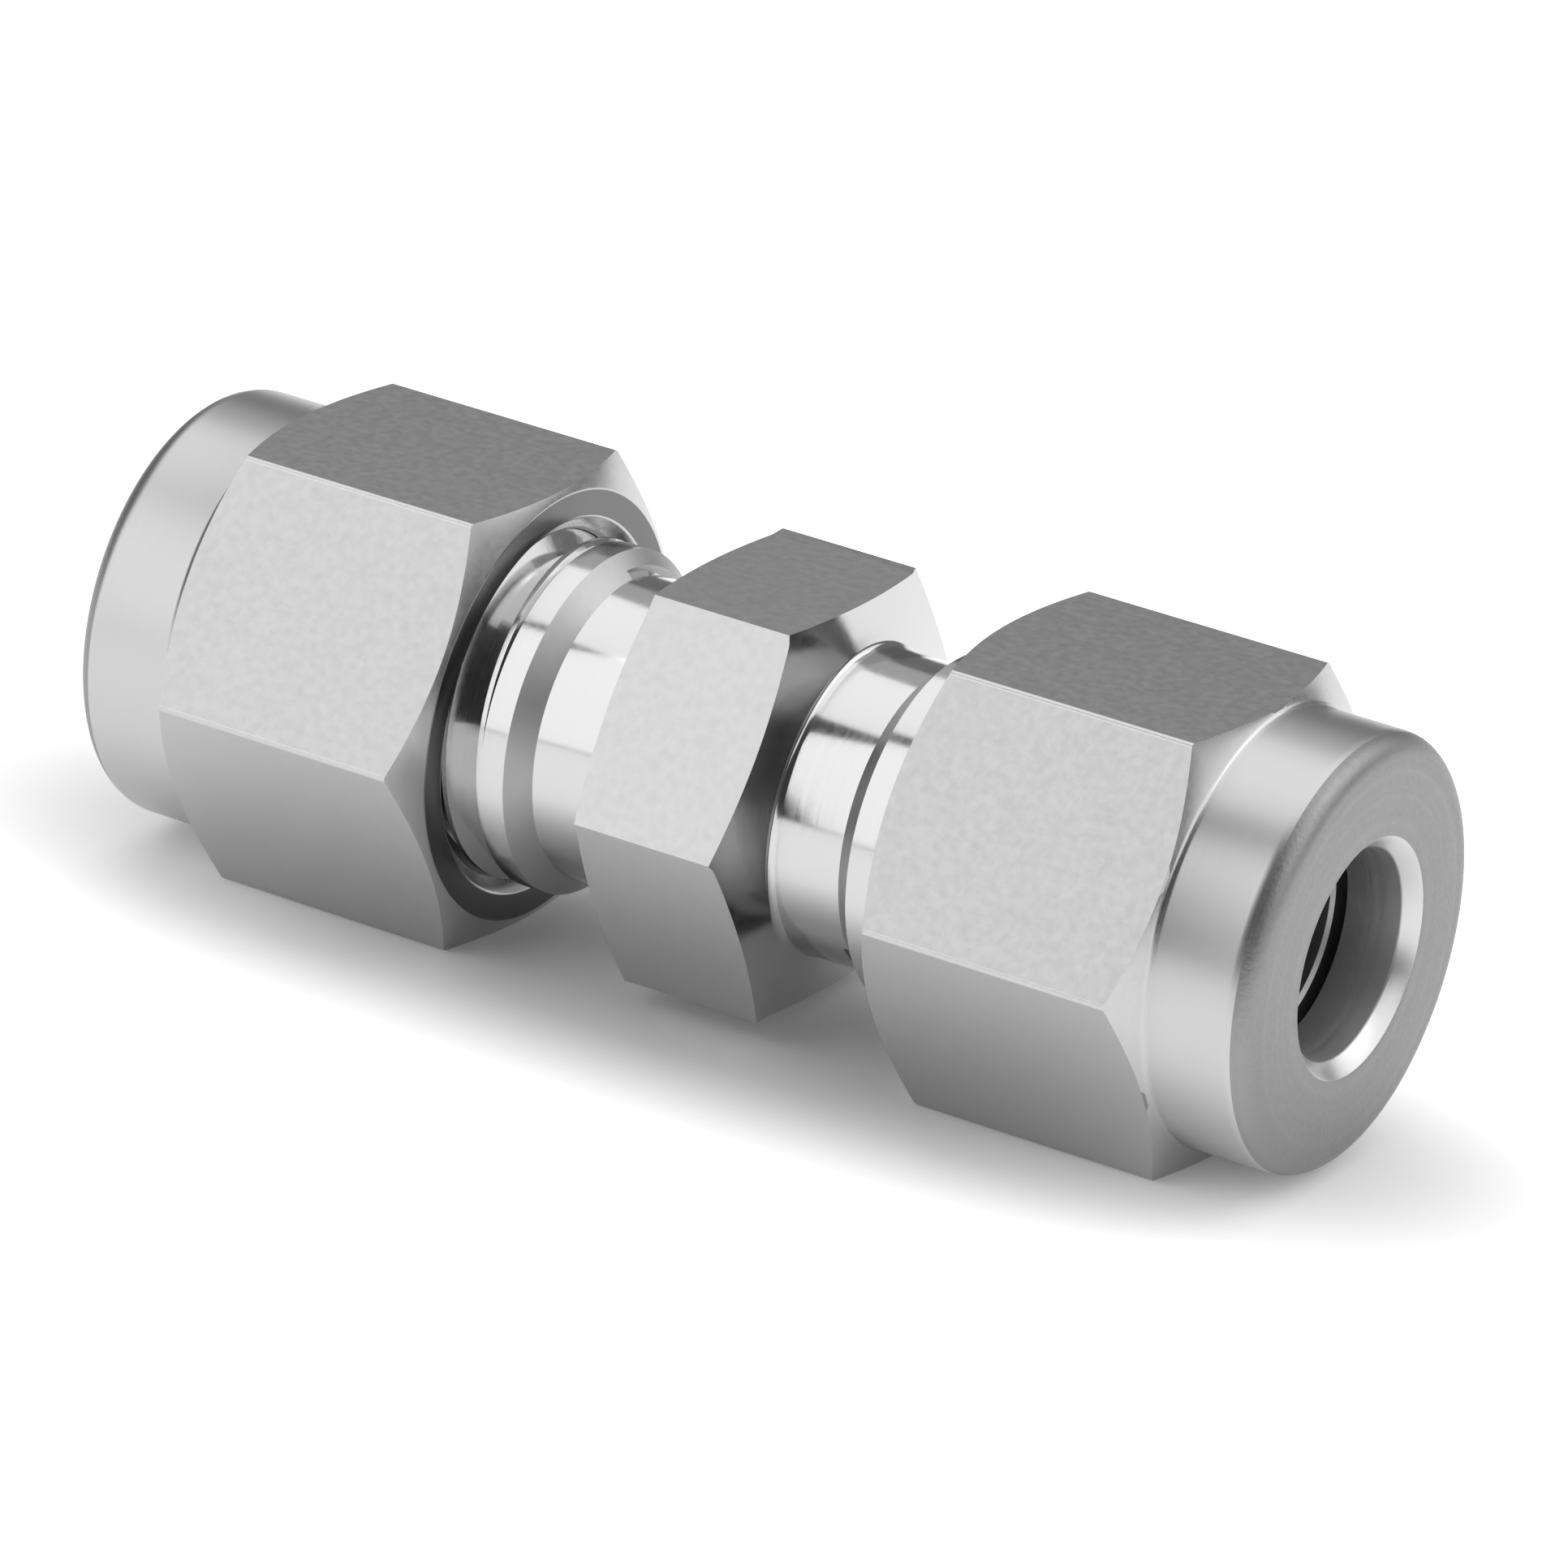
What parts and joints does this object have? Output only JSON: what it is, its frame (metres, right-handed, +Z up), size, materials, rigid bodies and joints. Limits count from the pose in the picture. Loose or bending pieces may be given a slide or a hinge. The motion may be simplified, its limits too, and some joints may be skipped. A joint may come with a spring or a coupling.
{
  "type": "tube union",
  "caption": "Compression tube union: a hexagon body with a threaded nut and gripping ferrules at each end, for joining tubes in line.",
  "frame": {"origin": "on the axis of the tubes, midway between the ends of the body's hexagon", "axes": "+X along the tube axis towards the right-hand nut, +Z up, square to the nut flats it lies on"},
  "size_m": [0.042, 0.0164, 0.0142],
  "materials": {
    "body_steel": "turned and polished neck, satin hexagon",
    "nut_steel": "satin flats, fine turned nose face",
    "ferrule_steel": "turned"
  },
  "bodies": {
    "body": {"union_body": "body_steel"},
    "right_ferrule_set": {"right_front_ferrule": "ferrule_steel", "right_back_ferrule": "ferrule_steel"},
    "right_nut": {"right_nut": "nut_steel"},
    "left_ferrule_set": {"left_front_ferrule": "ferrule_steel", "left_back_ferrule": "ferrule_steel"},
    "left_nut": {"left_nut": "nut_steel"}
  },
  "joints": [
    {"name": "right_ferrules_slide", "type": "slide", "parent": "body", "child": "right_ferrule_set", "axis": [1, 0, 0], "range_m": [-0.00031, 0.00414]},
    {"name": "right_nut_turn", "type": "hinge", "parent": "right_ferrule_set", "child": "right_nut", "pos_m": [0.0125, 0, 0], "axis": [1, 0, 0], "range_deg": [-86.4, 1173.6]},
    {"name": "left_ferrules_slide", "type": "slide", "parent": "body", "child": "left_ferrule_set", "axis": [-1, 0, 0], "range_m": [-0.00072, 0.00372]},
    {"name": "left_nut_turn", "type": "hinge", "parent": "left_ferrule_set", "child": "left_nut", "pos_m": [-0.0125, 0, 0], "axis": [-1, 0, 0], "range_deg": [-205.2, 1054.8]}
  ],
  "couplings": [
    {"joint": "right_ferrules_slide", "follows": "right_nut_turn", "m_per_rad": 0.00020213},
    {"joint": "left_ferrules_slide", "follows": "left_nut_turn", "m_per_rad": 0.00020213}
  ]
}
